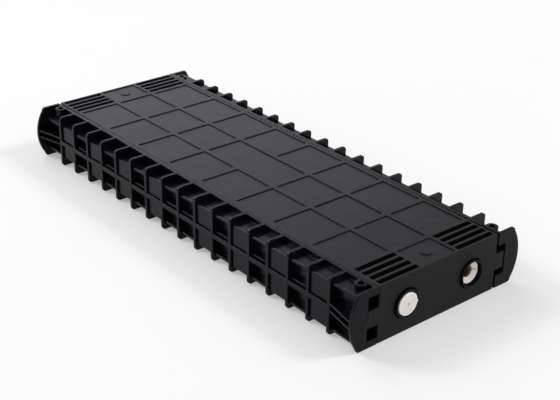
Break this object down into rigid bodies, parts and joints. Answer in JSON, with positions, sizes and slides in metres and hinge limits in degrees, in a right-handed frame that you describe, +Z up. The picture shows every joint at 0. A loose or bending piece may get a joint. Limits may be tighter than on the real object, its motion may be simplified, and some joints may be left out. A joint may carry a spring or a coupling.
{
  "type": "fibre splice closure",
  "caption": "Flat in-line splice closure: two moulded shells held by ribbed wedge rails that slide along the sides, with cable ports at both ends and splice trays inside.",
  "frame": {"origin": "middle of the footprint on the plane the closure rests on", "axes": "+X along the length towards the end with the open sleeve, +Y across towards the rail on that side's right hand, +Z up through the panelled roof"},
  "size_m": [0.4166, 0.1704, 0.046],
  "materials": {
    "shell_plastic": "moulded black polypropylene with a fine grain",
    "rail_plastic": "moulded black polypropylene with a fine grain",
    "seal_rubber": "soft black rubber",
    "plug_plastic": "natural white polyethylene",
    "clamp_metal": "plain brass",
    "frame_steel": "plain steel sheet",
    "tray_plastic": "moulded pale grey plastic",
    "comb_rubber": "soft grey rubber",
    "cover_plastic": "clear plastic sheet",
    "fastener_steel": "zinc plated steel"
  },
  "bodies": {
    "closure": {"upper_shell": "shell_plastic", "lower_shell": "shell_plastic", "seal_cord_left": "seal_rubber", "seal_cord_right": "seal_rubber", "seal_cord_near": "seal_rubber", "seal_cord_far": "seal_rubber", "near_left_port_seal": "seal_rubber", "near_right_port_seal": "seal_rubber", "far_left_port_seal": "seal_rubber", "far_right_port_seal": "seal_rubber", "near_left_plug": "plug_plastic", "near_right_sleeve": "plug_plastic", "far_left_plug": "plug_plastic", "far_right_plug": "plug_plastic", "near_left_strength_clamp": "clamp_metal", "near_right_strength_clamp": "clamp_metal", "far_left_strength_clamp": "clamp_metal", "far_right_strength_clamp": "clamp_metal", "tray_frame": "frame_steel", "splice_tray_1": "tray_plastic", "splice_tray_2": "tray_plastic", "splice_tray_3": "tray_plastic", "splice_comb_1": "comb_rubber", "splice_comb_2": "comb_rubber", "splice_comb_3": "comb_rubber", "tray_cover": "cover_plastic", "tray_bolts": "fastener_steel", "tray_nuts": "fastener_steel", "frame_screws": "fastener_steel", "clamp_screws": "fastener_steel"},
    "left_rail": {"clamp_rail_left": "rail_plastic"},
    "right_rail": {"clamp_rail_right": "rail_plastic"}
  },
  "joints": [
    {"name": "left_rail_slide", "type": "slide", "parent": "closure", "child": "left_rail", "axis": [-1, 0, 0], "range_m": [0, 0.43]},
    {"name": "right_rail_slide", "type": "slide", "parent": "closure", "child": "right_rail", "axis": [1, 0, 0], "range_m": [0, 0.43]}
  ]
}
